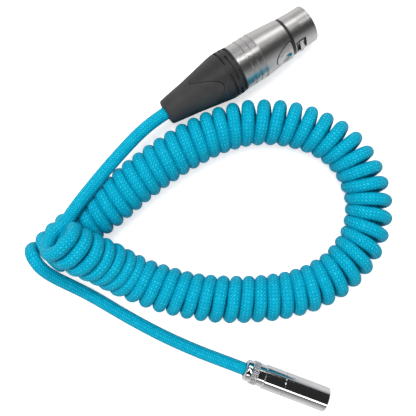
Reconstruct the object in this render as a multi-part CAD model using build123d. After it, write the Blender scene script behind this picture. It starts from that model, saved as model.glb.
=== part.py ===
"""A curly audio cable lying on a table: XLR cable socket, coiled cord, mini-XLR cable plug.

Millimetres, +Z up, the table at z = 0. Each connector is drawn along its own X axis, from the end
where the cord enters at x = 0 to its mating end, and is then put in its place. The XLR connector is
drawn with its latch on top.
"""

from build123d import *
import math
import os

# ---------------------------------------------------------------- driving dimensions

# Cord
cord_d = 5.3  # braided jacket, outside
coil_d = 18.8  # outside of the curly part
jacket_gap = 0.1  # radial, between the jacket and the entries it goes through

# XLR connector, outside
boot_len = 34.0
boot_rear_d = 10.4
boot_swell_x = 12.0  # where the boot's barrel-shaped rear turns into its cone
boot_swell_d = 14.2
boot_ring_d = 20.1
boot_ring_len = 6.4
boot_front_d = 19.5
sleeve_wall = 1.3
sleeve_front_x = 25.6
shell_rear_d = 19.4
barrel_len = 23.6  # shell's rear edge to its groove
band_len = 10.4  # straight rear stretch, with the three shallow bands at its front
barrel_front_d = 16.9
groove_len = 1.3
groove_depth = 0.75
nose_len = 10.9
nose_rear_d = 16.5
nose_d = 15.9
nose_straight_len = 5.6  # the nose's cylindrical stretch, ahead of the hook
rim_chamfer = 0.3

# XLR connector, inside
nose_bore_d = 14.2
barrel_bore_d = 15.4
thread_bore_d = 16.8
thread_len = 6.0
fit_gap = 0.05  # radial, between parts pushed together
insert_front_gap = 0.6
insert_len = 22.2
insert_skirt_wall = 1.0
contact_pcd = 8.1
contact_bore_d = 2.4
contact_bore_len = 9.6
contact_socket_d = 3.5
contact_shank_d = 3.0
contact_cup_len = 3.6
contact_recess = 0.3
cup_wall = 0.4
cup_depth = 3.0
chuck_d = 14.0
chuck_len = 24.0
chuck_grip_len = 8.0
chuck_wall = 1.6
cable_end_len_xlr = 24.0
wire_d = 1.5
wire_start_r = 1.2

# Latch of the XLR connector
latch_pad_len = 8.2
latch_pad_w = 9.0
latch_pad_proud = 0.4
latch_gap = 0.3
latch_strip_w = 4.6
latch_strip_t = 1.0
latch_strip_z = 6.0  # middle of the lever's strip, from the connector's axis
latch_hook_len = 3.0
window_rim = 0.3  # between the groove and the hook's window
latch_hook_proud = 0.9
latch_pivot_back = 1.7  # pivot, behind the thumb pad's rear tip
latch_pin_d = 1.0
latch_pin_gap = 0.05
latch_press_deg = 4.5
spring_d = 2.1
spring_wire_d = 0.3
spring_turns = 4

# Mini-XLR plug
mini_len = 36.6
mini_d = 10.2
mini_seam_x = 17.3
mini_neck_x = 8.5
mini_neck_d = 9.3
mini_nut_len = 5.7
mini_knurl_len = 2.9
mini_knurl_d = 10.0
mini_cap_d = 8.9
mini_wall = 0.8
mini_spigot_len = 3.0
mini_spigot_d = 9.2
mini_insert_len = 10.4
mini_pin_d = 1.0
mini_shank_d = 1.4  # thicker stretch of the pin, inside the insert
mini_pin_pcd = 4.4
mini_pin_len = 7.8
mini_pin_cup_d = 1.6
mini_cup_len = 3.0
mini_cup_depth = 2.0
mini_wire_d = 0.8
mini_collet_len = 6.4
mini_thread_wall = 0.35  # wall of the nut's threaded spigot, round the collet
cable_end_len_mini = 11.0
mini_key_w = 1.2
mini_key_h = 0.5
mini_key_len = 7.0

# Where the connectors lie: x and y of the rear end's centre, heading, and roll of the latch
xlr_rear_xy = (-32.95, 39.85)
xlr_heading = 33.2
xlr_roll = 60.0
mini_rear_xy = (-0.35, -66.9)
mini_heading = -20.6

# Cord route, from the XLR boot to the plug. The curly stretch is the line its turns go round.
# The tails go on straight behind the connectors; those ends are worked out further down.
tail_xlr_route = [
    (-51.4, 23.4, 14.1),
    (-59.7, 13.0, 16.8),
    (-67.1, 2.8, 20.4),
    (-72.5, -5.0, 23.2),
    (-75.1, -9.5, 24.5),
]
coil_points = [
    (-73.6, -10.0, 32.2),
    (-66.4, -15.6, 28.0),
    (-57.4, -20.6, 18.8),
    (-47.9, -27.4, 10.8),
    (-34.4, -32.6, 9.4),
    (-19.4, -36.2, 9.4),
    (-3.4, -37.0, 9.4),
    (12.6, -36.0, 9.4),
    (27.2, -32.4, 9.4),
    (39.8, -24.6, 9.4),
    (48.4, -13.0, 9.4),
    (51.4, 1.2, 9.4),
    (48.0, 15.0, 9.4),
    (40.0, 26.4, 9.4),
    (27.4, 33.6, 9.4),
    (12.6, 36.8, 9.4),
    (-2.8, 36.2, 9.4),
    (-17.8, 30.6, 9.4),
    (-31.8, 22.4, 9.4),
    (-45.4, 12.6, 9.4),
    (-57.8, 1.6, 9.4),
    (-69.8, -7.4, 9.4),
    (-78.0, -14.6, 9.4),
    (-86.4, -23.2, 9.4),
]
tail_mini_route = [
    (-86.0, -20.6, 14.4),
    (-82.0, -24.2, 13.2),
    (-74.4, -30.2, 8.4),
    (-64.4, -36.6, 4.2),
    (-51.8, -44.4, 2.75),
    (-36.4, -52.8, 2.75),
    (-21.4, -59.5, 2.9),
]

# ---------------------------------------------------------------- places along the XLR axis

shell_x = boot_len
thread_end_x = shell_x + thread_len
band_end_x = shell_x + band_len
groove_x = shell_x + barrel_len
nose_x = groove_x + groove_len
xlr_len = nose_x + nose_len
nose_straight_x = xlr_len - nose_straight_len
insert_front_x = xlr_len - insert_front_gap
insert_rear_x = insert_front_x - insert_len
skirt_x = thread_end_x
contact_r = contact_pcd / 2
contact_front_x = insert_front_x - contact_recess
socket_x = contact_front_x - contact_bore_len - 1.0
cup_x = insert_rear_x - contact_cup_len
chuck_front_x = skirt_x
chuck_rear_x = chuck_front_x - chuck_len
contact_angles = {1: 60.0, 2: -60.0, 3: 180.0}

# latch
pad_front_x = groove_x - 2 * latch_gap
pad_rear_x = pad_front_x - latch_pad_len
pivot_x = pad_rear_x - latch_pivot_back
hook_x = nose_x + 1.6
strip_front_x = hook_x + latch_hook_len
strip_bottom_z = latch_strip_z - latch_strip_t / 2
strip_top_z = latch_strip_z + latch_strip_t / 2
press_drop = (strip_front_x - pivot_x) * math.sin(math.radians(latch_press_deg))
channel_floor_z = strip_bottom_z - press_drop - latch_gap / 2
pad_drop = (pad_front_x - pivot_x) * math.sin(math.radians(latch_press_deg))
pad_floor_z = strip_bottom_z - pad_drop - latch_gap / 2
spring_x = (pad_rear_x + pad_front_x) / 2
spring_drop = (spring_x - pivot_x) * math.sin(math.radians(latch_press_deg))

# ---------------------------------------------------------------- resting places

# the XLR connector lies on the front edge of its bands and on the rim of its nose
rest_x = xlr_len - rim_chamfer
xlr_slope = math.atan((shell_rear_d - nose_d) / 2 / (rest_x - band_end_x))
xlr_tilt = math.degrees(xlr_slope)
xlr_rear_z = band_end_x * math.sin(xlr_slope) + shell_rear_d / 2 * math.cos(xlr_slope)
xlr_rear = (*xlr_rear_xy, xlr_rear_z)
mini_rear = (*mini_rear_xy, mini_d / 2)


def behind(rear, heading, slope, distance):
    """Point on a connector's axis, behind its rear end."""
    turn = math.radians(heading)
    level = distance * math.cos(slope)
    return (
        rear[0] - level * math.cos(turn),
        rear[1] - level * math.sin(turn),
        rear[2] + distance * math.sin(slope),
    )


tail_xlr_points = [xlr_rear, behind(xlr_rear, xlr_heading, xlr_slope, 9.0), *tail_xlr_route]
tail_mini_points = [*tail_mini_route, behind(mini_rear, mini_heading, 0, 9.5), mini_rear]

# ---------------------------------------------------------------- helpers


def turned(*outline):
    """Solid of revolution about X, from the (x, radius) corners of its half section."""
    return revolve(make_face(Polyline(*outline, close=True)), axis=Axis.X)


def ring(x0, x1, outer_r, inner_r):
    """Plain tube along X."""
    return turned((x0, inner_r), (x1, inner_r), (x1, outer_r), (x0, outer_r))


def rod(x0, x1, radius):
    """Plain round bar along X."""
    return turned((x0, 0), (x1, 0), (x1, radius), (x0, radius))


def block(x0, x1, width, z0, z1):
    """Box centred on y = 0."""
    return Pos((x0 + x1) / 2, 0, (z0 + z1) / 2) * Box(x1 - x0, width, z1 - z0)


def corner_radii(points):
    """The largest arc that the two runs of each corner leave room for."""
    vectors = [Vector(*b) - Vector(*a) for a, b in zip(points, points[1:])]
    radii = []
    for before, after in zip(vectors, vectors[1:]):
        half_turn = math.radians(before.get_angle(after)) / 2
        radii.append(0.45 * min(before.length, after.length) / math.tan(half_turn))
    return radii


def tube(points, diameter):
    """Round tube along straight runs joined by tangent arcs."""
    path = FilletPolyline(*points, radius=corner_radii(points))
    section = Plane(origin=path @ 0, z_dir=path % 0) * Circle(diameter / 2)
    return sweep(section, path=path)


def at_radius(shape, radius, angle):
    """Moves a shape off the X axis, to an angle about it counted from +Z."""
    return Rot(angle, 0, 0) * Pos(0, 0, radius) * shape


def barrel_r(x):
    """Radius of the shell's tapered barrel at x."""
    share = (x - band_end_x) / (groove_x - band_end_x)
    return (shell_rear_d + share * (barrel_front_d - shell_rear_d)) / 2


# ---------------------------------------------------------------- XLR connector


def boot_outline(inset):
    """Rear, swell and ring corners of the boot's outer surface, moved in by inset."""
    return [
        (0, boot_rear_d / 2 - inset),
        (boot_swell_x, boot_swell_d / 2 - inset),
        (sleeve_front_x, boot_ring_d / 2 - 0.35 - inset),
    ]


def make_sleeve():
    """Soft sleeve moulded over the bushing's cone, with a neat hole for the cord."""
    hole_r = cord_d / 2 + jacket_gap
    outside = boot_outline(0)
    inside = boot_outline(sleeve_wall)
    body = turned(
        (0, hole_r),
        (2, hole_r),
        (2, inside[0][1]),
        *inside[1:],
        outside[2],
        outside[1],
        outside[0],
    )
    return fillet(body.edges().group_by(Axis.X)[0].sort_by(SortBy.LENGTH)[-1], 0.6)


def make_bushing():
    """Hard boot: inner cone, slotted grip ring and the threaded spigot that enters the shell."""
    ring_x = boot_len - boot_ring_len
    under = boot_outline(sleeve_wall)
    spigot_r = thread_bore_d / 2 - fit_gap
    bore_r = cord_d / 2 + jacket_gap
    cavity_r = chuck_d / 2 + fit_gap
    cone_x = chuck_rear_x + chuck_grip_len
    body = turned(
        (2, bore_r),
        (chuck_rear_x - fit_gap, bore_r),
        (chuck_rear_x - fit_gap, cord_d / 2 + chuck_wall + fit_gap),
        (cone_x, cavity_r),
        (thread_end_x - 0.5, cavity_r),
        (thread_end_x - 0.5, spigot_r),
        (boot_len, spigot_r),
        (boot_len, boot_front_d / 2),
        (boot_len - 2.6, boot_ring_d / 2),
        (ring_x, boot_ring_d / 2),
        (sleeve_front_x, boot_ring_d / 2 - 0.35),
        under[2],
        under[1],
        (2, under[0][1]),
    )
    slot_depth = 0.8
    slot_w = 0.75
    slot_gap = 4.3
    first_gap = 32.0
    for x, shift in ((ring_x + 0.9, 0), (boot_len - 3.3, 45), (boot_len - 1.4, 0)):
        groove = ring(x, x + slot_w, boot_ring_d, boot_ring_d / 2 - slot_depth)
        for k in range(4):
            gap = Pos(x + slot_w / 2, 0, boot_ring_d / 2) * Box(2 * slot_w, slot_gap, 4)
            groove -= Rot(first_gap + shift + 90 * k, 0, 0) * gap
        body -= groove
    return body


def make_shell():
    """Metal shell: banded rear, tapered barrel, ring groove and nose."""
    groove_r = barrel_front_d / 2 - groove_depth
    nose_bore_r = nose_bore_d / 2
    barrel_bore_r = barrel_bore_d / 2
    body = turned(
        (shell_x, thread_bore_d / 2),
        (thread_end_x, thread_bore_d / 2),
        (thread_end_x, barrel_bore_r),
        (groove_x - 0.8, barrel_bore_r),
        (groove_x - 0.8, nose_bore_r),
        (xlr_len - rim_chamfer, nose_bore_r),
        (xlr_len, nose_bore_r + rim_chamfer),
        (xlr_len, nose_d / 2 - rim_chamfer),
        (xlr_len - rim_chamfer, nose_d / 2),
        (nose_straight_x, nose_d / 2),
        (nose_x, nose_rear_d / 2),
        (nose_x, groove_r),
        (groove_x, groove_r),
        (groove_x, barrel_front_d / 2),
        (band_end_x, shell_rear_d / 2),
        (shell_x, shell_rear_d / 2),
    )
    band_pitch = 2.7
    band_w = 1.1
    band_depth = 0.3
    for k in range(3):
        x = band_end_x - 0.5 - band_w - band_pitch * k
        body -= ring(x, x + band_w, shell_rear_d, shell_rear_d / 2 - band_depth)
    return body - latch_windows()


def latch_windows():
    """What the latch needs open in the shell: the thumb pad's notch and the hook's window."""
    half_w = latch_pad_w / 2 + latch_gap
    rear_x = pad_rear_x - latch_gap
    notch = pad_plan(rear_x, groove_x, half_w, 1.0, shell_rear_d / 2 + 2)
    window = block(
        nose_x + window_rim,
        strip_front_x + 2 * latch_gap,
        latch_strip_w + 2 * latch_gap,
        channel_floor_z,
        nose_rear_d / 2 + 2,
    )
    return [notch, window]


def pad_plan(rear_x, front_x, half_w, z0, z1):
    """Upright solid with the thumb pad's outline: half an ellipse, open towards the nose."""
    outline = Ellipse(front_x - rear_x, half_w)
    solid = extrude(Pos(front_x, 0, z0) * outline, z1 - z0)
    return solid & block(rear_x - 1, front_x, 2 * half_w + 2, z0, z1)


def make_coding_ring():
    """Black ring that sits in the shell's groove."""
    inner_r = barrel_front_d / 2 - groove_depth + fit_gap
    side = 0.05
    outer_r = nose_rear_d / 2 - 0.2
    return ring(groove_x + side, nose_x - side, outer_r, inner_r)


def make_latch():
    """Lever with the hub on its pivot, the thumb pad and the hook."""
    strip = block(pivot_x, strip_front_x, latch_strip_w, strip_bottom_z, strip_top_z)
    hub = Pos(pivot_x, 0, latch_strip_z) * Rot(90, 0, 0) * Cylinder(1.05, latch_strip_w)
    pad_top_r = barrel_r(pad_rear_x) + latch_pad_proud
    pad = pad_plan(pad_rear_x, pad_front_x, latch_pad_w / 2, strip_top_z - 0.3, pad_top_r + 1)
    pad &= turned(
        (pad_rear_x - 1, 0),
        (pad_front_x + 1, 0),
        (pad_front_x + 1, barrel_r(pad_front_x) + latch_pad_proud),
        (pad_rear_x - 1, pad_top_r),
    )
    scoop_r = 5.0
    scoop_depth = 1.0
    scoop_z = barrel_r(spring_x) + latch_pad_proud + scoop_r - scoop_depth
    pad -= Pos(spring_x + 0.6, 0, scoop_z) * Sphere(scoop_r)
    hook_top = nose_rear_d / 2 + latch_hook_proud
    hook_outline = Polyline(
        (hook_x, strip_top_z - 0.3),
        (hook_x, hook_top),
        (hook_x + 0.4 * latch_hook_len, hook_top),
        (strip_front_x, hook_top - 1.6),
        (strip_front_x, strip_top_z - 0.3),
        close=True,
    )
    hook_face = make_face(Plane.XZ * hook_outline)
    hook = extrude(hook_face, latch_strip_w / 2 - 0.1, both=True)
    bore = Rot(90, 0, 0) * Cylinder(latch_pin_d / 2 + latch_pin_gap, 2 * latch_strip_w)
    return (strip + hub + pad + hook) - Pos(pivot_x, 0, latch_strip_z) * bore


def make_latch_pin():
    """Pin that the latch rocks on, held in the insert at both ends."""
    pin = Rot(90, 0, 0) * Cylinder(latch_pin_d / 2, latch_strip_w + 2.4)
    return Pos(pivot_x, 0, latch_strip_z) * pin


def make_latch_spring():
    """Return spring under the thumb pad, at the length that it has when the latch is pressed."""
    height = strip_bottom_z - spring_drop - 0.1 - spring_floor_z() - spring_wire_d
    pitch = height / spring_turns
    line = Helix(pitch=pitch, height=height, radius=(spring_d - spring_wire_d) / 2)
    section = Plane(origin=line @ 0, z_dir=line % 0) * Circle(spring_wire_d / 2)
    coil = sweep(section, path=line)
    return Pos(spring_x, 0, spring_floor_z() + spring_wire_d / 2) * coil


def spring_floor_z():
    """Bottom of the spring's pocket in the insert."""
    return 1.6


def contact_hole():
    """Stepped hole for one contact, along the X axis."""
    socket_r = contact_socket_d / 2 + fit_gap
    shank_r = contact_shank_d / 2 + fit_gap
    return turned(
        (insert_rear_x - 1, 0),
        (insert_rear_x - 1, shank_r),
        (socket_x - fit_gap, shank_r),
        (socket_x - fit_gap, socket_r),
        (contact_front_x, socket_r),
        (contact_front_x, contact_bore_d / 2 + 0.15),
        (insert_front_x + 1, contact_bore_d / 2 + 0.15),
        (insert_front_x + 1, 0),
    )


def make_insert():
    """Black block that holds the contacts, with a skirt behind it and the latch's channel."""
    nose_r = nose_bore_d / 2 - fit_gap
    body_r = barrel_bore_d / 2 - fit_gap
    step_x = groove_x - 0.8 - fit_gap
    body = turned(
        (skirt_x, body_r - insert_skirt_wall),
        (insert_rear_x, body_r - insert_skirt_wall),
        (insert_rear_x, 0),
        (insert_front_x, 0),
        (insert_front_x, nose_r),
        (step_x, nose_r),
        (step_x, body_r),
        (skirt_x, body_r),
    )
    for angle in contact_angles.values():
        body -= at_radius(contact_hole(), contact_r, angle)
    channel_w = latch_strip_w + 2 * latch_gap
    top_z = shell_rear_d / 2
    body -= block(
        pivot_x - 1.5, strip_front_x + 3 * latch_gap, channel_w, channel_floor_z, top_z
    )
    pad_w = latch_pad_w + 2 * latch_gap
    body -= block(pad_rear_x - latch_gap, step_x + 1, pad_w, pad_floor_z, top_z)
    pocket_h = channel_floor_z - spring_floor_z() + 0.1
    pocket = Cylinder(spring_d / 2 + 0.15, pocket_h)
    body -= Pos(spring_x, 0, spring_floor_z() + pocket_h / 2) * pocket
    pin_hole = Rot(90, 0, 0) * Cylinder(latch_pin_d / 2 + 0.01, latch_strip_w + 2.5)
    return body - Pos(pivot_x, 0, latch_strip_z) * pin_hole


def make_contact():
    """Gold-plated socket contact along X: solder cup, shank and bored socket."""
    bore_r = contact_bore_d / 2
    socket_r = contact_socket_d / 2
    shank_r = contact_shank_d / 2
    cup_r = shank_r - cup_wall
    return turned(
        (cup_x, cup_r),
        (cup_x + cup_depth, cup_r),
        (cup_x + cup_depth, 0),
        (contact_front_x - contact_bore_len, 0),
        (contact_front_x - contact_bore_len, bore_r),
        (contact_front_x, bore_r),
        (contact_front_x, socket_r),
        (socket_x, socket_r),
        (socket_x, shank_r),
        (cup_x, shank_r),
    )


def make_chuck():
    """Slotted collet that grips the cable end and braces the insert against the bushing."""
    grip_r = cord_d / 2
    cone_x = chuck_rear_x + chuck_grip_len
    hollow_r = chuck_d / 2 - chuck_wall
    body = turned(
        (chuck_rear_x, grip_r),
        (cable_end_len_xlr, grip_r),
        (cable_end_len_xlr, hollow_r),
        (chuck_front_x, hollow_r),
        (chuck_front_x, chuck_d / 2),
        (cone_x, chuck_d / 2),
        (chuck_rear_x, grip_r + chuck_wall),
    )
    slot = block(chuck_rear_x - 1, cone_x - 1, 1.2, grip_r + 0.05, chuck_d)
    for k in range(4):
        body -= Rot(45 + 90 * k, 0, 0) * slot
    return body


def make_cable_end(length):
    """Stretch of the cord inside a connector."""
    return rod(0, length, cord_d / 2)


def make_wire(start_x, start_r, end_x, end_r, diameter, angle):
    """Insulated core from the cable end to a solder cup."""
    span = end_x - start_x
    route = [
        (start_x, 0, start_r),
        (start_x + 0.25 * span, 0, start_r),
        (start_x + 0.62 * span, 0, end_r),
        (end_x, 0, end_r),
    ]
    return Rot(angle, 0, 0) * tube(route, diameter)


def xlr_pieces():
    pieces = {
        "xlr_sleeve": make_sleeve(),
        "xlr_bushing": make_bushing(),
        "xlr_shell": make_shell(),
        "xlr_coding_ring": make_coding_ring(),
        "xlr_latch": make_latch(),
        "xlr_latch_pin": make_latch_pin(),
        "xlr_latch_spring": make_latch_spring(),
        "xlr_insert": make_insert(),
        "xlr_chuck": make_chuck(),
        "xlr_cable_end": make_cable_end(cable_end_len_xlr),
    }
    for number, angle in contact_angles.items():
        pieces[f"xlr_contact_{number}"] = at_radius(make_contact(), contact_r, angle)
        pieces[f"xlr_wire_{number}"] = make_wire(
            cable_end_len_xlr, wire_start_r, cup_x + cup_depth - 0.3, contact_r, wire_d, angle
        )
    place = Pos(*xlr_rear) * Rot(0, 0, xlr_heading) * Rot(0, xlr_tilt, 0) * Rot(xlr_roll, 0, 0)
    return {name: place * piece for name, piece in pieces.items()}


# ---------------------------------------------------------------- mini-XLR plug

mini_bore_r = mini_d / 2 - mini_wall
mini_spigot_r = mini_spigot_d / 2
mini_spigot_bore_r = mini_spigot_r - 0.6
mini_thread_r = mini_neck_d / 2 - mini_wall - fit_gap
mini_collet_seat_r = mini_thread_r - mini_thread_wall
mini_collet_r = mini_collet_seat_r - fit_gap
insert_end_x = mini_seam_x + mini_insert_len
mini_cup_x = mini_seam_x - mini_cup_len
mini_angles = {1: 60.0, 2: -60.0, 3: 180.0}


def make_mini_nut():
    """Clamp nut: rounded cap, knurled band and the thread that enters the rear sleeve."""
    hole_r = cord_d / 2 + jacket_gap
    knurl_x = mini_nut_len - mini_knurl_len
    body = turned(
        (0, hole_r),
        (mini_nut_len - 1.4, hole_r),
        (mini_nut_len - 1.4, mini_collet_seat_r),
        (mini_nut_len + 4.0, mini_collet_seat_r),
        (mini_nut_len + 4.0, mini_thread_r),
        (mini_nut_len, mini_thread_r),
        (mini_nut_len, mini_knurl_d / 2),
        (knurl_x, mini_knurl_d / 2),
        (knurl_x, mini_cap_d / 2),
        (0, mini_cap_d / 2),
    )
    cap_wall = mini_cap_d / 2 - hole_r
    rounding = min(1.2, 0.7 * cap_wall)
    return fillet(body.edges().group_by(Axis.X)[0].sort_by(SortBy.LENGTH)[-1], rounding)


def make_mini_rear_sleeve():
    """Rear half of the barrel, with the neck that the nut screws into."""
    neck_bore_r = mini_neck_d / 2 - mini_wall
    return turned(
        (mini_nut_len + fit_gap, neck_bore_r),
        (mini_neck_x + 1.5, neck_bore_r),
        (mini_neck_x + 1.5, mini_spigot_bore_r),
        (mini_seam_x - mini_spigot_len, mini_spigot_bore_r),
        (mini_seam_x - mini_spigot_len, mini_spigot_r + fit_gap),
        (mini_seam_x, mini_spigot_r + fit_gap),
        (mini_seam_x, mini_d / 2 - 0.15),
        (mini_seam_x - 0.15, mini_d / 2),
        (mini_neck_x + 0.3, mini_d / 2),
        (mini_neck_x, mini_neck_d / 2),
        (mini_nut_len + fit_gap, mini_neck_d / 2),
    )


def make_mini_shell():
    """Front half of the barrel: the open shell round the pins, with its key rib."""
    rim = 0.25
    body = turned(
        (mini_seam_x - mini_spigot_len + 0.1, mini_spigot_bore_r),
        (mini_seam_x, mini_spigot_bore_r),
        (mini_seam_x, mini_bore_r),
        (mini_len - rim, mini_bore_r),
        (mini_len, mini_bore_r + rim),
        (mini_len, mini_d / 2 - rim),
        (mini_len - rim, mini_d / 2),
        (mini_seam_x + 0.2, mini_d / 2),
        (mini_seam_x + fit_gap, mini_d / 2 - 0.15),
        (mini_seam_x + fit_gap, mini_spigot_r),
        (mini_seam_x - mini_spigot_len + 0.1, mini_spigot_r),
    )
    key_x = mini_len - 1.0
    key = block(
        key_x - mini_key_len, key_x, mini_key_w, mini_bore_r - mini_key_h, mini_bore_r + 0.2
    )
    return body + key


def make_mini_insert():
    """Black block that holds the pins."""
    body = rod(mini_seam_x + fit_gap, insert_end_x, mini_bore_r - fit_gap)
    for angle in mini_angles.values():
        hole = rod(mini_seam_x - 1, insert_end_x + 1, mini_shank_d / 2 + 0.02)
        body -= at_radius(hole, mini_pin_pcd / 2, angle)
    return body


def make_mini_pin():
    """Pin contact along X: solder cup, shank in the insert and chamfered pin."""
    pin_r = mini_pin_d / 2
    shank_r = mini_shank_d / 2
    cup_r = mini_pin_cup_d / 2
    front_x = insert_end_x + mini_pin_len
    return turned(
        (mini_cup_x, cup_r - 0.25),
        (mini_cup_x + mini_cup_depth, cup_r - 0.25),
        (mini_cup_x + mini_cup_depth, 0),
        (front_x, 0),
        (front_x, pin_r - 0.25),
        (front_x - 0.25, pin_r),
        (insert_end_x, pin_r),
        (insert_end_x, shank_r),
        (mini_seam_x, shank_r),
        (mini_seam_x, cup_r),
        (mini_cup_x, cup_r),
    )


def make_mini_collet():
    """Split clamp ring that grips the cable end inside the nut."""
    front_x = mini_nut_len - 1.3 + mini_collet_len
    body = ring(mini_nut_len - 1.3, front_x, mini_collet_r, cord_d / 2)
    slot = block(mini_nut_len + 1.2, front_x + 1, 0.8, cord_d / 2 + 0.05, mini_d)
    for k in range(3):
        body -= Rot(120 * k, 0, 0) * slot
    return body


def mini_pieces():
    pieces = {
        "mini_clamp_nut": make_mini_nut(),
        "mini_rear_sleeve": make_mini_rear_sleeve(),
        "mini_shell": make_mini_shell(),
        "mini_insert": make_mini_insert(),
        "mini_collet": make_mini_collet(),
        "mini_cable_end": make_cable_end(cable_end_len_mini),
    }
    for number, angle in mini_angles.items():
        pieces[f"mini_pin_{number}"] = at_radius(make_mini_pin(), mini_pin_pcd / 2, angle)
        pieces[f"mini_wire_{number}"] = make_wire(
            cable_end_len_mini,
            wire_start_r,
            mini_cup_x + mini_cup_depth - 0.2,
            mini_pin_pcd / 2,
            mini_wire_d,
            angle,
        )
    place = Pos(*mini_rear) * Rot(0, 0, mini_heading)
    return {name: place * piece for name, piece in pieces.items()}


# ---------------------------------------------------------------- cord


def cord_pieces():
    """The two plain tails, and the curly stretch as one tube of its outside diameter."""
    return {
        "cord_tail_xlr": tube(tail_xlr_points, cord_d),
        "cord_coil": tube(coil_points, coil_d),
        "cord_tail_mini": tube(tail_mini_points, cord_d),
    }


def print_route(name, points, diameter, solid):
    """The route's arcs, and how far the tube's volume is from its section times its length."""
    radii = corner_radii(points)
    length = FilletPolyline(*points, radius=radii).length
    plain = math.pi * diameter**2 / 4 * length
    print(f"{name}: {length:.1f} mm, smallest arc {min(radii):.1f} mm")
    print("  arcs", [round(r) for r in radii], f"volume {solid.volume / plain:.4f} of plain")
    print("  ends", [[round(v, 3) for v in points[k]] for k in (0, 1, -2, -1)])


def main():
    parts = {**xlr_pieces(), **mini_pieces(), **cord_pieces()}
    os.makedirs("parts", exist_ok=True)
    for name, shape in parts.items():
        export_step(shape, f"parts/{name}.step")
    for name, points, diameter in (
        ("cord_tail_xlr", tail_xlr_points, cord_d),
        ("cord_coil", coil_points, coil_d),
        ("cord_tail_mini", tail_mini_points, cord_d),
    ):
        print_route(name, points, diameter, parts[name])
    print(f"XLR rear end at z {xlr_rear_z:.3f}, tilt {xlr_tilt:.3f}")


main()
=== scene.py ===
"""Looks of the curly audio cable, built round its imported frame. Lengths are in metres."""

import math

import bpy
import numpy as np
from mathutils import Matrix, Vector


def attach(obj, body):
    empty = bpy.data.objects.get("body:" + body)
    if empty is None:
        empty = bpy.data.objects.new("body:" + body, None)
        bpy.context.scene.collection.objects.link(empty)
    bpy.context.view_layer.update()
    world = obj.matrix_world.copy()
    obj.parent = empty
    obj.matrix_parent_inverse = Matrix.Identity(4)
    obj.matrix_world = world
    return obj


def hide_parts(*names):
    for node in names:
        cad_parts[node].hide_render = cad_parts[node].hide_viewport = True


MM = 0.001
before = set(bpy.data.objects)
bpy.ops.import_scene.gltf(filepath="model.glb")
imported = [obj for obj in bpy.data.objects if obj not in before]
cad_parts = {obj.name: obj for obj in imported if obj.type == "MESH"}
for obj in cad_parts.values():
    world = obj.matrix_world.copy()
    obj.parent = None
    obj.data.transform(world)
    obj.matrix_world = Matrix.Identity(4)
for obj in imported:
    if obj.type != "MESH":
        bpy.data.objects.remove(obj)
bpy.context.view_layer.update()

# ---------------------------------------------------------------- driving values

cord_d = 5.3 * MM
cord_hole_r = 2.72  # the boot's and the nut's opening round the cord, in millimetres

# The XLR socket lies on the front edge of its bands and on the rim of its nose, so its axis slopes
shell_rear_d, nose_d = 19.4, 15.9
band_end_x, rest_x = 44.4, 69.5
xlr_slope = math.atan((shell_rear_d - nose_d) / 2 / (rest_x - band_end_x))
xlr_heading = 33.2
xlr_rear = Vector((-32.95, 39.85, 12.765)) * MM
mini_heading = -20.6
mini_rear = Vector((-0.35, -66.9, 5.1)) * MM

# The cord's route, from the XLR boot to the plug
tail_xlr_points = [
    (-0.03295, 0.03985, 0.012765),
    (-0.040463, 0.034934, 0.013391),
    (-0.0514, 0.0234, 0.0141),
    (-0.0597, 0.013, 0.0168),
    (-0.0671, 0.0028, 0.0204),
    (-0.0718, -0.005, 0.0232),
]
coil_points = [
    (-0.0736, -0.01, 0.0322),
    (-0.0664, -0.0156, 0.028),
    (-0.0574, -0.0206, 0.0188),
    (-0.0479, -0.0274, 0.0108),
    (-0.0344, -0.0326, 0.0098),
    (-0.0194, -0.0362, 0.0098),
    (-0.0034, -0.037, 0.0098),
    (0.0126, -0.036, 0.0098),
    (0.0272, -0.0324, 0.0098),
    (0.0398, -0.0246, 0.0097),
    (0.0484, -0.013, 0.0097),
    (0.0514, 0.0012, 0.0097),
    (0.048, 0.015, 0.0097),
    (0.04, 0.0264, 0.0097),
    (0.0274, 0.0336, 0.0095),
    (0.0126, 0.0368, 0.0095),
    (-0.0028, 0.0361, 0.0096),
    (-0.0178, 0.0304, 0.0097),
    (-0.0318, 0.0221, 0.0097),
    (-0.0453, 0.0123, 0.0097),
    (-0.0577, 0.0013, 0.0096),
    (-0.0698, -0.0074, 0.0094),
    (-0.078, -0.0146, 0.0094),
    (-0.0884, -0.0252, 0.0094),
]
tail_mini_points = [
    (-0.0836, -0.0236, 0.0148),
    (-0.0792, -0.0276, 0.0110),
    (-0.0729, -0.0316, 0.0066),
    (-0.0644, -0.0366, 0.0036),
    (-0.0518, -0.0444, 0.00275),
    (-0.0364, -0.0528, 0.00275),
    (-0.0214, -0.0595, 0.0029),
    (-0.009243, -0.063558, 0.0051),
    (-0.00035, -0.0669, 0.0051),
]

# How the turns lie: distance along the coil's axis from the XLR end, and the value there
turn_spacings = [
    (0.0, 0.0056),
    (0.028, 0.0054),
    (0.036, 0.0061),
    (0.042, 0.0061),
    (0.048, 0.0055),
    (0.068, 0.0054),
    (0.075, 0.0057),
    (0.085, 0.0055),
    (0.110, 0.0053),
    (0.130, 0.0060),
    (0.160, 0.0061),
    (0.226, 0.0059),
    (0.236, 0.0052),
    (0.265, 0.0051),
    (0.300, 0.0050),
    (0.322, 0.0051),
    (0.328, 0.0068),
    (0.340, 0.0068),
]
turn_radii = [
    (0.0, 0.0063),
    (0.012, 0.0068),
    (0.035, 0.0071),
    (0.110, 0.0070),
    (0.200, 0.0068),
    (0.270, 0.0069),
    (0.340, 0.0066),
]
points_per_turn = 16
turn_unevenness = 0.1 * MM
last_turn_cut = 0.55  # the last turn stops on its top, where the plug's tail leaves
first_turn_side = Vector((-0.0751, -0.0095, 0.0245))  # the first turn starts on this side of the axis

# ---------------------------------------------------------------- lines


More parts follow.
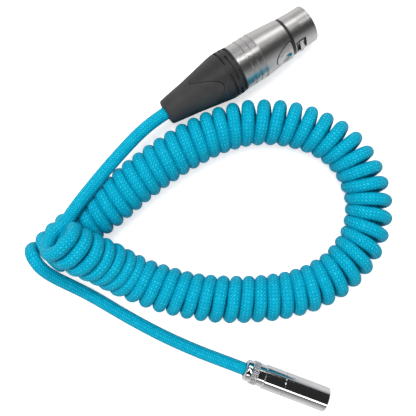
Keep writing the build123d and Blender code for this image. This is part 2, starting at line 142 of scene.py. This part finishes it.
def smooth_line(points, resolution):
    """Points along the NURBS spline that has these control points."""
    curve = bpy.data.curves.new("line", "CURVE")
    curve.dimensions = "3D"
    curve.resolution_u = resolution
    spline = curve.splines.new("NURBS")
    spline.points.add(len(points) - 1)
    for point, place in zip(spline.points, points):
        point.co = (*place, 1)
    spline.order_u = 3
    spline.use_endpoint_u = True
    holder = bpy.data.objects.new("line", curve)
    mesh = bpy.data.meshes.new_from_object(holder)
    line = np.array([v.co for v in mesh.vertices])
    bpy.data.meshes.remove(mesh)
    bpy.data.curves.remove(curve)
    return line


def lengths_along(line):
    steps = np.linalg.norm(np.diff(line, axis=0), axis=1)
    return np.concatenate([[0], np.cumsum(steps)])


def evenly(line, step):
    """The line again, with its points one step apart."""
    along = lengths_along(line)
    count = max(2, round(along[-1] / step) + 1)
    at = np.linspace(0, along[-1], count)
    return np.stack([np.interp(at, along, line[:, k]) for k in range(3)], axis=1)


def frames(line, first_normal):
    """Tangent, normal and side at each point, without twist."""
    tangents = np.gradient(line, axis=0)
    tangents /= np.linalg.norm(tangents, axis=1)[:, None]
    normals = np.zeros_like(line)
    normal = np.array(first_normal, float)
    for k, tangent in enumerate(tangents):
        normal = normal - tangent * (normal @ tangent)
        normal /= np.linalg.norm(normal)
        normals[k] = normal
    return tangents, normals, np.cross(tangents, normals)


def table_value(table, at):
    return np.interp(at, [row[0] for row in table], [row[1] for row in table])


def coil_turns():
    """Control points of the left-handed curl, round the coil's axis."""
    axis = evenly(smooth_line(coil_points, 24), 0.2 * MM)
    along = lengths_along(axis)
    _, normals, sides = frames(axis, first_turn_side - Vector(coil_points[0]))
    spacing = table_value(turn_spacings, along)
    turns = np.concatenate([[0], np.cumsum(np.diff(along) / spacing[1:])])
    last_turn = math.floor(turns[-1]) - last_turn_cut
    at_turn = np.arange(0, last_turn, 1 / points_per_turn)
    at = np.interp(at_turn, turns, along)
    rows = np.searchsorted(along, at).clip(0, len(axis) - 1)
    # A quadratic spline passes inside its control points by this share
    spline_reach = 0.75 + 0.25 * math.cos(2 * math.pi / points_per_turn)
    radius = table_value(turn_radii, at) / spline_reach
    uneven = np.random.default_rng(5).uniform(-1, 1, int(last_turn) + 2) * turn_unevenness
    radius = radius + np.interp(at_turn, np.arange(len(uneven)), uneven)
    angle = -2 * math.pi * at_turn
    places = (
        axis[rows]
        + normals[rows] * (radius * np.cos(angle))[:, None]
        + sides[rows] * (radius * np.sin(angle))[:, None]
    )
    return [tuple(p) for p in places]


# ---------------------------------------------------------------- meshes


def add_piece(name, verts, faces, material, body="cable"):
    mesh = bpy.data.meshes.new(name)
    mesh.from_pydata([tuple(v) for v in verts], [], faces)
    mesh.materials.append(material)
    mesh.polygons.foreach_set("use_smooth", [True] * len(mesh.polygons))
    mesh.update()
    piece = bpy.data.objects.new(name, mesh)
    bpy.context.scene.collection.objects.link(piece)
    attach(piece, body)
    return piece


def tube_mesh(name, line, diameter, sides, material):
    """Round tube along a line, closed at both ends."""
    _, normals, across = frames(line, (0, 0, 1))
    angles = np.linspace(0, 2 * math.pi, sides, endpoint=False)
    ring = np.stack([np.cos(angles), np.sin(angles)], axis=1) * diameter / 2
    verts = (
        line[:, None, :]
        + normals[:, None, :] * ring[None, :, :1]
        + across[:, None, :] * ring[None, :, 1:]
    ).reshape(-1, 3)
    faces = []
    count = len(line)
    for k in range(count - 1):
        base = k * sides
        for j in range(sides):
            n = (j + 1) % sides
            faces.append((base + j, base + n, base + sides + n, base + sides + j))
    faces.append(tuple(reversed(range(sides))))
    faces.append(tuple(range((count - 1) * sides, count * sides)))
    return add_piece(name, verts, faces, material)


def map_tube(piece, line, diameter, sides):
    """Two maps: one by length and way round for the braid, and one cut into rows that fill a square."""
    along = lengths_along(line)
    spans = len(line) - 1
    k = np.repeat(np.arange(spans), sides)
    j = np.tile(np.arange(sides), spans)
    u0, u1 = along[k], along[k + 1]
    v0, v1 = j / sides, (j + 1) / sides
    braid = np.stack([u0, v0, u0, v1, u1, v1, u1, v0], axis=1).reshape(-1, 2)
    rows = math.ceil(math.sqrt(along[-1] / (math.pi * diameter)))
    per_row = math.ceil(spans / rows)
    row, place = k // per_row, k % per_row
    margin = 0.02
    used = 1 - 2 * margin
    a0, a1 = place / per_row, (place + 1) / per_row
    b0, b1 = (row + margin + used * v0) / rows, (row + margin + used * v1) / rows
    packed = np.stack([a0, b0, a0, b1, a1, b1, a1, b0], axis=1).reshape(-1, 2)
    ends = np.zeros((2 * sides, 2))
    for label, data in (("braid", braid), ("OFBake", packed)):
        layer = piece.data.uv_layers.new(name=label)
        layer.data.foreach_set("uv", np.concatenate([data, ends]).ravel())


# ---------------------------------------------------------------- materials


def new_material(name):
    material = bpy.data.materials.new(name)
    material.use_nodes = True
    nodes = material.node_tree.nodes
    return material, nodes, material.node_tree.links, nodes["Principled BSDF"]


def math_node(nodes, links, operation, a, b=None):
    node = nodes.new("ShaderNodeMath")
    node.operation = operation
    for socket, value in zip(node.inputs, (a, b)):
        if value is None:
            continue
        if isinstance(value, (int, float)):
            socket.default_value = value
        else:
            links.new(value, socket)
    return node.outputs[0]


def noise(nodes, links, scale, detail, vector):
    node = nodes.new("ShaderNodeTexNoise")
    node.inputs["Scale"].default_value = scale
    node.inputs["Detail"].default_value = detail
    links.new(vector, node.inputs["Vector"])
    return node.outputs["Fac"]


def object_place(nodes):
    return nodes.new("ShaderNodeTexCoord").outputs["Object"]


def ramp(nodes, links, value, stops):
    node = nodes.new("ShaderNodeValToRGB")
    elements = node.color_ramp.elements
    while len(elements) < len(stops):
        elements.new(0.5)
    for element, (place, colour) in zip(elements, stops):
        element.position = place
        element.color = (*colour, 1)
    links.new(value, node.inputs["Fac"])
    return node.outputs["Color"]


def vary(nodes, links, value, low, high, socket):
    """Let a 0-1 value swing a socket between low and high."""
    node = nodes.new("ShaderNodeMapRange")
    node.inputs["To Min"].default_value = low
    node.inputs["To Max"].default_value = high
    links.new(value, node.inputs["Value"])
    links.new(node.outputs[0], socket)


def bump(nodes, links, height, distance, shader):
    node = nodes.new("ShaderNodeBump")
    node.inputs["Distance"].default_value = distance
    node.inputs["Strength"].default_value = 1.0
    links.new(height, node.inputs["Height"])
    links.new(node.outputs["Normal"], shader.inputs["Normal"])


def braid_material():
    """Two sets of strands, winding opposite ways and passing over and under each other. Their blue is
    painted darker in the gaps between strands and lighter on the crowns, as painted shade and highlight.
    """
    material, nodes, links, shader = new_material("blue_braid")
    strands = 12
    stitch = 1.1 * MM
    where = nodes.new("ShaderNodeUVMap")
    where.uv_map = "braid"
    split = nodes.new("ShaderNodeSeparateXYZ")
    links.new(where.outputs["UV"], split.inputs[0])

    def m(operation, a, b=None):
        return math_node(nodes, links, operation, a, b)

    def bulge(value):
        centred = m("SUBTRACT", m("MULTIPLY", m("FRACT", value), 2.0), 1.0)
        return m("SUBTRACT", 1.0, m("MULTIPLY", centred, centred))

    def strand_height(across, lengthwise):
        return m("MULTIPLY", m("POWER", across, 0.5), m("ADD", m("MULTIPLY", lengthwise, 0.6), 0.4))

    lengthwise = m("DIVIDE", split.outputs["X"], stitch)
    round_way = m("MULTIPLY", split.outputs["Y"], strands)
    one = m("ADD", round_way, lengthwise)
    other = m("SUBTRACT", round_way, lengthwise)
    cell = m("ADD", m("FLOOR", one), m("FLOOR", other))
    odd = m("ABSOLUTE", m("MODULO", cell, 2.0))
    even = m("SUBTRACT", 1.0, odd)
    across_one, across_other = bulge(one), bulge(other)
    even_part = m("MULTIPLY", strand_height(across_one, across_other), even)
    odd_part = m("MULTIPLY", strand_height(across_other, across_one), odd)
    height = m("ADD", even_part, odd_part)

    speckle = noise(nodes, links, 900, 3, object_place(nodes))
    # Painted highlight: the crowns of one strand set are lightened to stand in for sheen, giving rows of
    # bright dots
    painted_highlight_set = m("MULTIPLY", m("MULTIPLY", even, 0.23), across_other)
    stitch_name = nodes.new("ShaderNodeCombineXYZ")
    links.new(m("FLOOR", one), stitch_name.inputs["X"])
    links.new(m("FLOOR", other), stitch_name.inputs["Y"])
    chance = nodes.new("ShaderNodeTexWhiteNoise")
    links.new(stitch_name.outputs[0], chance.inputs["Vector"])
    # The colour follows the strand height: painted shade in the gaps between strands and painted
    # highlight on the crowns, plus random speckle and per-stitch tone
    tone = m("ADD", m("MULTIPLY", height, 0.50), m("MULTIPLY", speckle, 0.25))
    tone = m("ADD", tone, painted_highlight_set)
    tone = m("ADD", tone, m("MULTIPLY", chance.outputs["Value"], 0.12))
    shade_to_highlight_blues = [
        (0.05, (0.0002, 0.06, 0.15)),
        (0.32, (0.0003, 0.26, 0.43)),
        (0.65, (0.0005, 0.38, 0.57)),
        (0.88, (0.01, 0.52, 0.68)),
        (1.00, (0.06, 0.64, 0.76)),
    ]
    links.new(ramp(nodes, links, tone, shade_to_highlight_blues), shader.inputs["Base Color"])
    shader.inputs["Roughness"].default_value = 0.5
    shader.inputs["Specular IOR Level"].default_value = 0.10
    bump(nodes, links, height, 0.12 * MM, shader)
    return material


def black_material(name, colour, roughness, grain):
    material, nodes, links, shader = new_material(name)
    place = object_place(nodes)
    fine = noise(nodes, links, 2600, 3, place)
    wide = noise(nodes, links, 120, 2, place)
    dark = tuple(0.8 * c for c in colour)
    light = tuple(1.2 * c for c in colour)
    links.new(ramp(nodes, links, wide, [(0.3, dark), (0.7, light)]), shader.inputs["Base Color"])
    vary(nodes, links, fine, roughness - 0.06, roughness + 0.06, shader.inputs["Roughness"])
    bump(nodes, links, fine, grain, shader)
    return material


def metal_material(name, colour, roughness, mark_depth, axis_turn):
    """Plated metal with fine turning marks round the connector's own axis."""
    material, nodes, links, shader = new_material(name)
    place = object_place(nodes)
    turn = nodes.new("ShaderNodeMapping")
    turn.vector_type = "TEXTURE"
    turn.inputs["Rotation"].default_value = axis_turn
    links.new(place, turn.inputs["Vector"])
    stretch = nodes.new("ShaderNodeMapping")
    stretch.inputs["Scale"].default_value = (9000, 300, 300)
    links.new(turn.outputs[0], stretch.inputs["Vector"])
    marks = noise(nodes, links, 1.0, 2, stretch.outputs[0])
    cloud = noise(nodes, links, 160, 3, place)
    low = tuple(0.93 * c for c in colour)
    links.new(ramp(nodes, links, cloud, [(0.3, low), (0.7, colour)]), shader.inputs["Base Color"])
    shader.inputs["Metallic"].default_value = 1.0
    vary(nodes, links, marks, roughness * 0.75, roughness * 1.25, shader.inputs["Roughness"])
    bump(nodes, links, marks, mark_depth, shader)
    return material


def plain_plastic(name, colour, roughness):
    material, nodes, links, shader = new_material(name)
    tone = noise(nodes, links, 700, 2, object_place(nodes))
    low = tuple(0.85 * c for c in colour)
    links.new(ramp(nodes, links, tone, [(0.3, low), (0.7, colour)]), shader.inputs["Base Color"])
    shader.inputs["Roughness"].default_value = roughness
    return material


xlr_turn = (0, xlr_slope, math.radians(xlr_heading))
mini_turn = (0, 0, math.radians(mini_heading))
blue_braid = braid_material()
soft_black = black_material("soft_black", (0.036, 0.036, 0.037), 0.60, 0.012 * MM)
hard_black = black_material("hard_black", (0.026, 0.026, 0.027), 0.50, 0.008 * MM)
insert_black = black_material("insert_black", (0.020, 0.020, 0.022), 0.40, 0.006 * MM)
ring_black = black_material("ring_black", (0.016, 0.016, 0.017), 0.35, 0.004 * MM)
satin_nickel = metal_material("satin_nickel", (0.66, 0.65, 0.64), 0.33, 0.004 * MM, xlr_turn)
latch_nickel = metal_material("latch_nickel", (0.64, 0.63, 0.62), 0.20, 0.002 * MM, xlr_turn)
chrome = metal_material("chrome", (0.78, 0.78, 0.79), 0.09, 0.0015 * MM, mini_turn)
steel = metal_material("steel", (0.55, 0.55, 0.56), 0.30, 0.002 * MM, xlr_turn)
contact_gold = metal_material("contact_gold", (0.83, 0.63, 0.30), 0.20, 0.001 * MM, xlr_turn)
wire_black = plain_plastic("wire_black", (0.02, 0.02, 0.02), 0.45)
wire_red = plain_plastic("wire_red", (0.55, 0.03, 0.03), 0.45)
wire_white = plain_plastic("wire_white", (0.80, 0.80, 0.78), 0.45)

# ---------------------------------------------------------------- carried-over nodes


def paint(node, material):
    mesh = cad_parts[node].data
    mesh.materials.clear()
    mesh.materials.append(material)


finishes = {
    "xlr_sleeve": soft_black,
    "xlr_bushing": hard_black,
    "xlr_shell": satin_nickel,
    "xlr_coding_ring": ring_black,
    "xlr_latch": latch_nickel,
    "xlr_latch_pin": steel,
    "xlr_latch_spring": steel,
    "xlr_insert": insert_black,
    "xlr_chuck": hard_black,
    "xlr_cable_end": insert_black,
    "mini_clamp_nut": chrome,
    "mini_rear_sleeve": chrome,
    "mini_shell": chrome,
    "mini_insert": insert_black,
    "mini_collet": steel,
    "mini_cable_end": insert_black,
}
for number, wire in ((1, wire_black), (2, wire_red), (3, wire_white)):
    finishes[f"xlr_contact_{number}"] = contact_gold
    finishes[f"mini_pin_{number}"] = contact_gold
    finishes[f"xlr_wire_{number}"] = wire
    finishes[f"mini_wire_{number}"] = wire
for node, finish in finishes.items():
    paint(node, finish)

# ---------------------------------------------------------------- connector details
# Profiles are in millimetres, along each connector's own axis from its rear

boot_front_x, boot_front_r = 25.58, 9.7
boot_wall = 1.2
seam_start, seam_reach = 13.5, 11.0
seam_gap, seam_lip = 0.18, 0.16


def in_place(points, rear, tilt, heading):
    """Points given along a connector's own axis, in the row frame."""
    turn = Matrix.Rotation(math.radians(heading), 3, "Z") @ Matrix.Rotation(tilt, 3, "Y")
    return np.array(points) @ np.array(turn).T + np.array(rear)


def wrapped(name, profiles, angles, material, placing):
    """Closed skin from one closed (x, radius) profile for each angle about the axis."""
    profiles = np.array(profiles)
    count, corners = profiles.shape[:2]
    x, r = profiles[:, :, 0], profiles[:, :, 1]
    angle = np.array(angles)[:, None]
    points = np.stack([x, -r * np.sin(angle), r * np.cos(angle)], axis=2).reshape(-1, 3)
    faces = []
    for k in range(count):
        n = (k + 1) % count
        for j in range(corners):
            m = (j + 1) % corners
            faces.append((k * corners + j, k * corners + m, n * corners + m, n * corners + j))
    piece = add_piece(name, in_place(points * MM, *placing), faces, material)
    piece.data.set_sharp_from_angle(angle=math.radians(40))
    return piece


xlr_placing = (xlr_rear, xlr_slope, xlr_heading)
mini_placing = (mini_rear, 0, mini_heading)


def boot_r(x):
    """Radius of the boot's outside, a cone that swells a little on its way."""
    stations = (0, 4, 8, 12, 16, 20, 25.6)
    radii = (5.2, 5.9, 6.53, 7.12, 7.88, 8.64, boot_front_r)
    return np.interp(x, stations, radii)


def boot_seam(angle):
    """Where the soft sleeve ends: three long tongues over the hard cone."""
    wave = math.cos(3 * (angle - math.radians(29)))
    return seam_start + seam_reach * (0.5 + 0.5 * wave) ** 0.8


def outside(xs):
    return [(x, float(boot_r(x))) for x in xs]


def make_boot():
    """Soft sleeve and hard cone, with a rounded lip on each side of the seam between them."""
    angles = np.linspace(0, 2 * math.pi, 180, endpoint=False)
    bore_x = 2.0
    sleeve, cone = [], []
    for angle in angles:
        end = boot_seam(angle)
        end_r = float(boot_r(end))
        sleeve.append(
            [(0.25, cord_hole_r), (0, cord_hole_r + 0.25), (0, 4.45), (0.12, 4.85), (0.35, 5.1)]
            + outside(np.linspace(0.7, end - 2 * seam_lip, 32))
            + [(end - 0.6 * seam_lip, end_r - 0.05), (end, end_r - seam_lip), (end, end_r - boot_wall)]
            + [(bore_x, float(boot_r(bore_x)) - boot_wall), (bore_x, cord_hole_r)]
        )
        start = end + seam_gap
        start_r = float(boot_r(start))
        cone.append(
            [(start, start_r - boot_wall), (start, start_r - seam_lip)]
            + [(start + 0.6 * seam_lip, start_r - 0.05)]
            + outside(np.linspace(start + 2 * seam_lip, boot_front_x, 20))
            + [(boot_front_x, boot_front_r - boot_wall)]
        )
    soft = wrapped("boot_soft_sleeve", sleeve, angles, soft_black, xlr_placing)
    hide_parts("xlr_sleeve")
    hard = wrapped("boot_hard_cone", cone, angles, hard_black, xlr_placing)


def make_knurled_nut():
    """Clamp nut of the plug: rounded cap and a cross-knurled band."""
    teeth, samples = 34, 8
    angles = np.linspace(0, 2 * math.pi, teeth * samples, endpoint=False)
    cap_r, cap_round = 4.45, 1.2
    band_start, band_end, band_r, knurl_depth = 2.8, 5.68, 5.0, 0.20
    seat_x, seat_r = 1.5, 3.45
    along = np.linspace(band_start + 0.25, band_end - 0.25, 26)
    pitch = 2 * math.pi * band_r / teeth
    round_corner = [
        (cap_round * (1 - math.cos(a)), cap_r - cap_round * (1 - math.sin(a)))
        for a in np.linspace(0, math.pi / 2, 8)
    ]
    profiles = []
    for angle in angles:
        way = angle * teeth / (2 * math.pi)
        band = []
        for x in along:
            one = abs((way + x / pitch) % 1 - 0.5) * 2
            other = abs((way - x / pitch) % 1 - 0.5) * 2
            band.append((x, band_r - knurl_depth * max(one, other) ** 2))
        profiles.append(
            [(0.2, cord_hole_r), (0, cord_hole_r + 0.18)]
            + round_corner
            + [(band_start - 0.12, cap_r), (band_start, cap_r + 0.1), (band_start + 0.02, band_r - 0.35)]
            + band
            + [(band_end, band_r - 0.35), (band_end, seat_r), (seat_x, cord_hole_r)]
        )
    nut = wrapped("plug_clamp_nut", profiles, angles, chrome, mini_placing)
    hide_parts("mini_clamp_nut")


make_boot()
make_knurled_nut()

# ---------------------------------------------------------------- the cord

route = tail_xlr_points + coil_turns() + tail_mini_points
cord_line = evenly(smooth_line(route, 10), 0.72 * MM)
cord_sides = 24
cord = tube_mesh("braided_cord", cord_line, cord_d, cord_sides, blue_braid)
map_tube(cord, cord_line, cord_d, cord_sides)
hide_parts("cord_tail_xlr", "cord_coil", "cord_tail_mini")

# ---------------------------------------------------------------- camera, light and floor

scene = bpy.context.scene
scene.view_settings.view_transform = "Standard"
camera = bpy.data.objects.new("camera", bpy.data.cameras.new("camera"))
camera.location = Vector((-15.85, 1.0, 258.0)) * MM
camera.data.lens = 51.92
camera.data.sensor_width = 36
camera.data.clip_start = 0.01
scene.collection.objects.link(camera)
scene.camera = camera


def area_light(name, place, target, size, power, heading):
    """Rectangular lamp aimed at a target, its long side turned to a heading."""
    light = bpy.data.lights.new(name, "AREA")
    light.shape = "RECTANGLE"
    light.size, light.size_y = size
    light.energy = power
    lamp = bpy.data.objects.new(name, light)
    lamp.location = place
    down = (Vector(place) - Vector(target)).normalized()
    long_way = Vector((math.cos(math.radians(heading)), math.sin(math.radians(heading)), 0))
    other_way = down.cross(long_way).normalized()
    long_way = other_way.cross(down)
    lamp.rotation_euler = Matrix((long_way, other_way, down)).transposed().to_euler()
    scene.collection.objects.link(lamp)
    return lamp


area_light("softbox", (-0.16, 0.30, 1.00), (0, 0.03, 0), (0.90, 0.20), 2.6, xlr_heading)
area_light("side", (-0.02, -0.52, 0.58), (0.02, -0.08, 0), (0.70, 0.16), 1.0, mini_heading)
area_light("back", (0.20, 0.80, 0.50), (0, 0, 0), (0.60, 0.30), 1.4, 0)
overhead = area_light("overhead", (-0.15, 0.25, 1.20), (0, 0, 0), (0.60, 0.60), 12.4, 0)
overhead.visible_glossy = False


def studio_world():
    """Light tent, bright low down and dark overhead, with a flag that darkens one side lower down."""
    world = bpy.data.worlds.new("studio")
    scene.world = world
    world.use_nodes = True
    nodes, links = world.node_tree.nodes, world.node_tree.links
    way = nodes.new("ShaderNodeTexCoord")
    split = nodes.new("ShaderNodeSeparateXYZ")
    links.new(way.outputs["Generated"], split.inputs[0])
    tent_tones = [(0.0, (0.64, 0.64, 0.65)), (0.35, (0.50, 0.50, 0.51)), (0.72, (0.03, 0.03, 0.03))]
    flag_tones = [(0.0, (0.62, 0.62, 0.63)), (0.26, (0.46, 0.46, 0.47)), (0.36, (0.03, 0.03, 0.03))]
    tent = ramp(nodes, links, split.outputs["Z"], tent_tones)
    flag = ramp(nodes, links, split.outputs["Z"], flag_tones)
    flag_side = (0.75, 0.66, 0.0)
    facing = nodes.new("ShaderNodeVectorMath")
    facing.operation = "DOT_PRODUCT"
    facing.inputs[1].default_value = flag_side
    links.new(way.outputs["Generated"], facing.inputs[0])
    flag_part = nodes.new("ShaderNodeMapRange")
    flag_part.inputs["From Min"].default_value = 0.45
    flag_part.inputs["From Max"].default_value = 0.65
    links.new(facing.outputs["Value"], flag_part.inputs["Value"])
    sky = nodes.new("ShaderNodeMix")
    sky.data_type = "RGBA"
    links.new(flag_part.outputs[0], sky.inputs["Factor"])
    links.new(tent, sky.inputs["A"])
    links.new(flag, sky.inputs["B"])
    back = nodes["Background"]
    links.new(sky.outputs["Result"], back.inputs["Color"])
    back.inputs["Strength"].default_value = 0.9
    white = nodes.new("ShaderNodeBackground")
    white.inputs["Color"].default_value = (1, 1, 1, 1)
    paths = nodes.new("ShaderNodeLightPath")
    mix = nodes.new("ShaderNodeMixShader")
    links.new(paths.outputs["Is Camera Ray"], mix.inputs["Fac"])
    links.new(back.outputs[0], mix.inputs[1])
    links.new(white.outputs[0], mix.inputs[2])
    links.new(mix.outputs[0], nodes["World Output"].inputs["Surface"])


def white_floor():
    """Pale floor that keeps the shadow and shows lighter to the camera."""
    half = 1.5
    mesh = bpy.data.meshes.new("floor")
    corners = [(-half, -half, 0), (half, -half, 0), (half, half, 0), (-half, half, 0)]
    mesh.from_pydata(corners, [], [(0, 1, 2, 3)])
    floor = bpy.data.objects.new("floor", mesh)
    scene.collection.objects.link(floor)
    material, nodes, links, shader = new_material("floor")
    shader.inputs["Base Color"].default_value = (0.66, 0.66, 0.66, 1)
    shader.inputs["Roughness"].default_value = 0.9
    shader.inputs["Specular IOR Level"].default_value = 0.0
    paths = nodes.new("ShaderNodeLightPath")
    lift = math_node(nodes, links, "MULTIPLY", paths.outputs["Is Camera Ray"], 0.65)
    shader.inputs["Emission Color"].default_value = (1, 1, 1, 1)
    links.new(lift, shader.inputs["Emission Strength"])
    mesh.materials.append(material)


studio_world()
white_floor()
